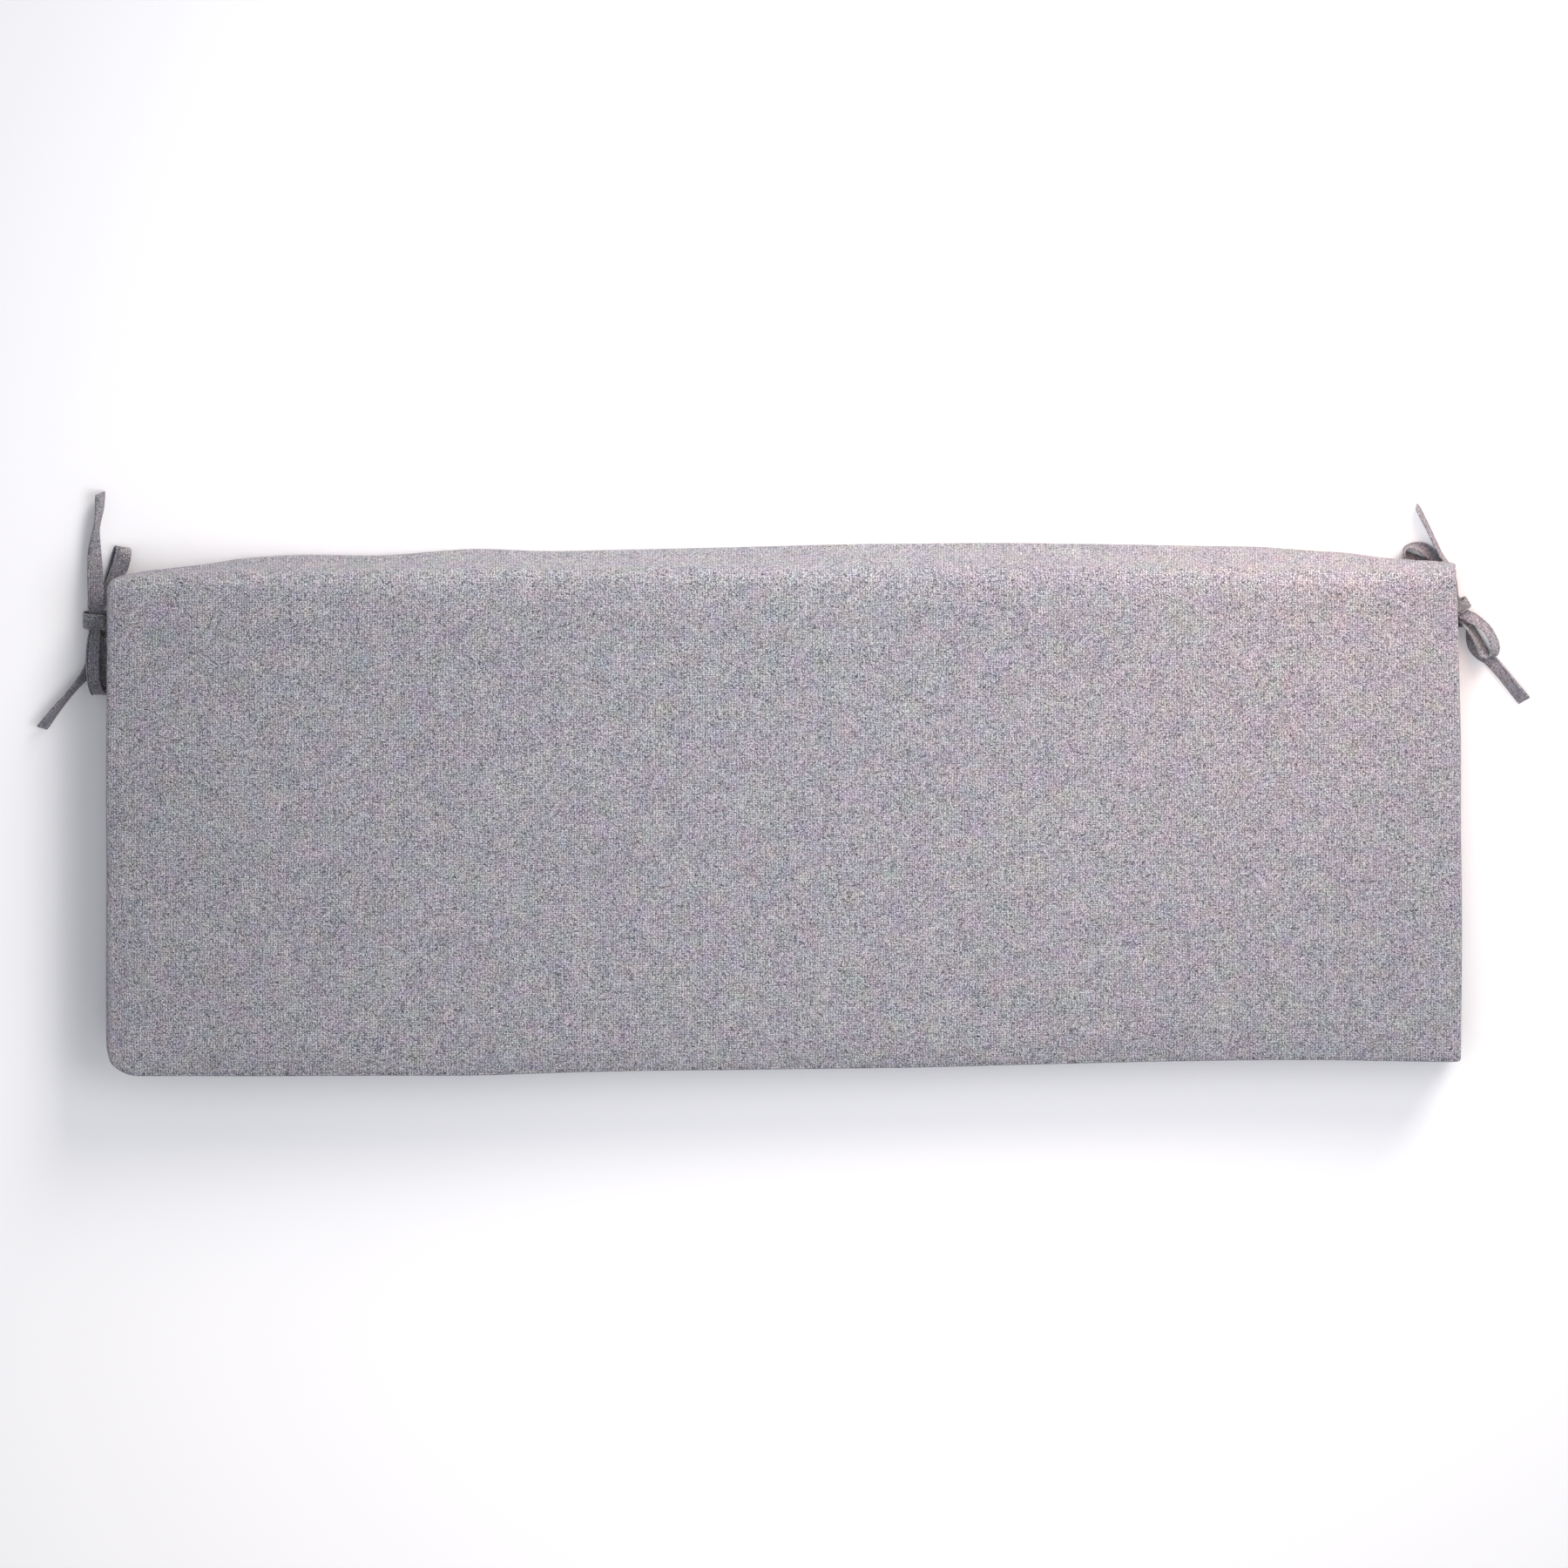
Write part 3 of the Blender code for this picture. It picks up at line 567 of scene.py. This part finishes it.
RIGHT_DOWN = [
    (17.5, 0.0, 1.15, 90, 0, 10.0), *knot_band(RIGHT_BAND), (2.4, 14.0, 1.5, 5, 0, 5.0),
    (0.4, 22.2, 1.3, 8, 0, 6.2), (0.6, 30.0, 1.3, -12, 0, 6.6), (4.4, 36.8, 1.4, -37, 0, 7.0),
    (9.9, 43.4, 2.9, -49, 24, 8.0), (13.0, 49.0, 5.4, -60, 68, 10.0), (11.2, 53.2, 6.3, -60, 94, 11.0),
    (6.8, 54.0, 6.5, -60, 98, 11.5), (2.4, 50.9, 6.2, -60, 80, 11.0), (-0.8, 45.6, 5.1, -42, 48, 9.4),
    (-3.1, 38.6, 4.1, -24, 16, 7.4), (-3.9, 31.0, 3.7, -8, 2, 6.2), (-3.6, 23.0, 3.7, 0, 0, 5.4),
    (-2.8, 14.6, 3.6, 0, 0, 4.6), (-2.3, 7.0, 3.3, 0, 0, 4.1), (-2.3, 0.0, 3.2, 0, 0, 4.1),
    (-2.6, -7.0, 2.6, 0, 0, 4.2), (-1.5, -13.4, 1.7, 8, 0, 4.6), (1.4, -19.8, 1.2, 16, 0, 6.2),
    (4.0, -26.0, 1.2, 8, 0, 7.6), (4.9, -32.0, 1.2, -12, 0, 8.4), (3.4, -37.8, 1.2, -28, 0, 8.8),
    (0.6, -43.2, 1.2, -26, -1, 8.8), (-1.3, -49.6, 1.9, -14, -10, 9.0), (-2.9, -58.0, 3.1, -8, -22, 9.6),
    (-4.5, -69.2, 3.6, -5, -28, 10.6), (-6.3, -80.6, 3.8, -4, -28, 11.2),
]


def curve_through(rows, step):
    """Points read from a smooth curve through the rows, every value eased alike."""
    rows = [np.array(row, dtype=float) for row in rows]
    padded = [2 * rows[0] - rows[1], *rows, 2 * rows[-1] - rows[-2]]
    points = []
    for a, b, c, d in zip(padded, padded[1:], padded[2:], padded[3:]):
        count = max(2, round(float(np.linalg.norm((c - b)[:3])) / step))
        for i in range(count):
            t = i / count
            points.append(0.5 * (
                2 * b + (c - a) * t + (2 * a - 5 * b + 4 * c - d) * t**2
                + (3 * b - a - 3 * c + d) * t**3
            ))
    points.append(rows[-1])
    return points


def place_route(route, bow):
    """Turn a route from the bow's frame into world rows: centre, line across, width."""
    knot_x, knot_y, swing, hand = bow
    cos, sin = math.cos(math.radians(swing)), math.sin(math.radians(swing))
    placed = []
    for u, v, z, heading, rise, width in route:
        heading, rise = math.radians(heading), math.radians(rise)
        side_u = math.cos(heading) * math.cos(rise)
        side_v = math.sin(heading) * math.cos(rise)
        placed.append((
            knot_x + hand * cos * u - sin * v, knot_y + hand * sin * u + cos * v, z,
            hand * cos * side_u - sin * side_v, hand * sin * side_u + cos * side_v,
            math.sin(rise), width,
        ))
    return placed


# Half of the pressed tube's outline: share of the width from the middle, share of the thickness.
# The stitched edge is a raised roll with the row of stitches sunk beside it.
TUBE_EDGE = [
    (-0.5, 0.0), (-0.495, 0.22), (-0.475, 0.46), (-0.43, 0.6), (-0.38, 0.52), (-0.355, 0.2),
    (-0.33, 0.2), (-0.3, 0.47), (-0.15, 0.5), (0.0, 0.48), (0.18, 0.5), (0.36, 0.5),
    (0.44, 0.46), (0.485, 0.3),
]


def make_tie(name, route, bow, material):
    """A pressed cloth tube laid along its route, gathered where it runs narrow."""
    points = curve_through(place_route(route, bow), TIE_STEP)
    centres = [Vector(p[:3]) for p in points]
    outline = TUBE_EDGE + [(0.5, 0.0)] + [(across, -up) for across, up in reversed(TUBE_EDGE[1:])]
    bm = bmesh.new()
    cloth_map = bm.loops.layers.uv.new("cloth")
    rows, reach = [], [0.0]
    for i, point in enumerate(points):
        run = (centres[min(i + 1, len(centres) - 1)] - centres[max(i - 1, 0)]).normalized()
        across = Vector(point[3:6])
        across = (across - run * across.dot(run)).normalized()
        out = run.cross(across)
        width = point[6]
        gather = PLEAT_DEPTH * max(0.0, 1 - width / TIE_WIDTH)
        shut = END_THINNING if i in (0, len(points) - 1) else 1.0
        row = []
        for side, up in outline:
            fold = gather * math.cos(PLEATS * math.pi * side * 2)
            row.append(bm.verts.new((
                centres[i] + across * side * width + out * (up * TIE_THICKNESS * shut + fold)
            ) * MM))
        rows.append(row)
        if i:
            reach.append(reach[-1] + (centres[i] - centres[i - 1]).length)
    shares = [side for side, up in outline]
    flat = np.concatenate([[0], np.cumsum(np.abs(np.diff(shares + shares[:1])))]) * TIE_WIDTH * MM
    for i in range(len(rows) - 1):
        for j in range(len(outline)):
            k = (j + 1) % len(outline)
            face = bm.faces.new((rows[i][j], rows[i][k], rows[i + 1][k], rows[i + 1][j]))
            for loop, (a, b) in zip(face.loops, ((i, j), (i, j + 1), (i + 1, j + 1), (i + 1, j))):
                loop[cloth_map].uv = (flat[b], reach[a] * MM)
    for row in (rows[0], rows[-1]):
        face = bm.faces.new(row)
        for loop in face.loops:
            loop[cloth_map].uv = (loop.vert.co.x, loop.vert.co.z)
    bmesh.ops.triangulate(bm, faces=[f for f in bm.faces if len(f.verts) > 4])
    bmesh.ops.recalc_face_normals(bm, faces=bm.faces)
    mesh = bpy.data.meshes.new(name + "_strip")
    bm.to_mesh(mesh)
    bm.free()
    mesh.shade_smooth()
    mesh.materials.append(material)
    tie = bpy.data.objects.new(name + "_strip", mesh)
    bpy.context.scene.collection.objects.link(tie)
    finer = tie.modifiers.new("finer", "SUBSURF")
    finer.levels = finer.render_levels = 1
    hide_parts(name)
    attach(tie, "root")
    return tie


# The ties show the same cloth with less contrast. Its darker shades are painted shade, for the shadow
# the ties lie in.
tie_cloth = melange_weave("grey_melange_tie_cloth", ("#38363c", "#827f85", "#b8b6b9"), 0.8)
make_tie("tie_left_up", LEFT_UP, LEFT_BOW, tie_cloth)
make_tie("tie_left_down", LEFT_DOWN, LEFT_BOW, tie_cloth)
make_tie("tie_right_up", RIGHT_UP, RIGHT_BOW, tie_cloth)
make_tie("tie_right_down", RIGHT_DOWN, RIGHT_BOW, tie_cloth)


# ---------------------------------------------------------------------------------------------
# Studio. A plain white floor and an even pale surround, with three lights: a broad soft one
# beyond the tie edge, a weak one overhead, and a small warm one near the upper right corner.
# ---------------------------------------------------------------------------------------------
FLOOR_SIZE = 12.0

bpy.ops.mesh.primitive_plane_add(size=FLOOR_SIZE, location=(0, 0, 0))
floor = bpy.context.object
floor.name = "floor"
# Matt white floor paint, rolled on: plain and without gloss, so it shows only soft shadows.
paint = bpy.data.materials.new("matt_white_floor_paint")
paint.use_nodes = True
shader = paint.node_tree.nodes["Principled BSDF"]
shader.inputs["Base Color"].default_value = to_linear("#fcfcfc")
shader.inputs["Roughness"].default_value = 0.9
shader.inputs["Specular IOR Level"].default_value = 0.1
floor.data.materials.append(paint)

world = bpy.data.worlds.new("surround")
world.use_nodes = True
world.node_tree.nodes["Background"].inputs["Color"].default_value = to_linear("#f2f4fa")
world.node_tree.nodes["Background"].inputs["Strength"].default_value = 0.61
bpy.context.scene.world = world


def place_light(name, lamp, place, aim, power, colour):
    """Hang a lamp at a place, turned toward its aim."""
    lamp.energy = power
    lamp.color = to_linear(colour)[:3]
    panel = bpy.data.objects.new(name, lamp)
    panel.location = place
    panel.rotation_euler = (Vector(aim) - Vector(place)).to_track_quat("-Z", "Y").to_euler()
    bpy.context.scene.collection.objects.link(panel)


# The broad light stands low beyond the tie edge, so the rear wall is brighter than the face, and
# it fades toward the left end.
broad = bpy.data.lights.new("tie_edge_light", "SPOT")
broad.shadow_soft_size = 0.9
broad.spot_size = math.radians(40)
broad.spot_blend = 1.0
place_light("tie_edge_light", broad, (1.0, 2.0, 0.95), (0.15, 0, 0), 545, "#fff6f1")

# The overhead light lifts the face a little.
overhead = bpy.data.lights.new("overhead_light", "AREA")
overhead.shape = "DISK"
overhead.size = 0.8
place_light("overhead_light", overhead, (0.2, 0.25, 0.9), (0.2, 0.25, 0), 4.9, "#fbf9ff")

# The warm light gives the upper right corner its rosy tone.
warm = bpy.data.lights.new("warm_corner_light", "SPOT")
warm.shadow_soft_size = 0.12
warm.spot_size = math.radians(42)
warm.spot_blend = 1.0
place_light("warm_corner_light", warm, (0.62, 0.42, 0.4), (0.35, 0.13, 0.05), 7.0, "#ffc6ae")
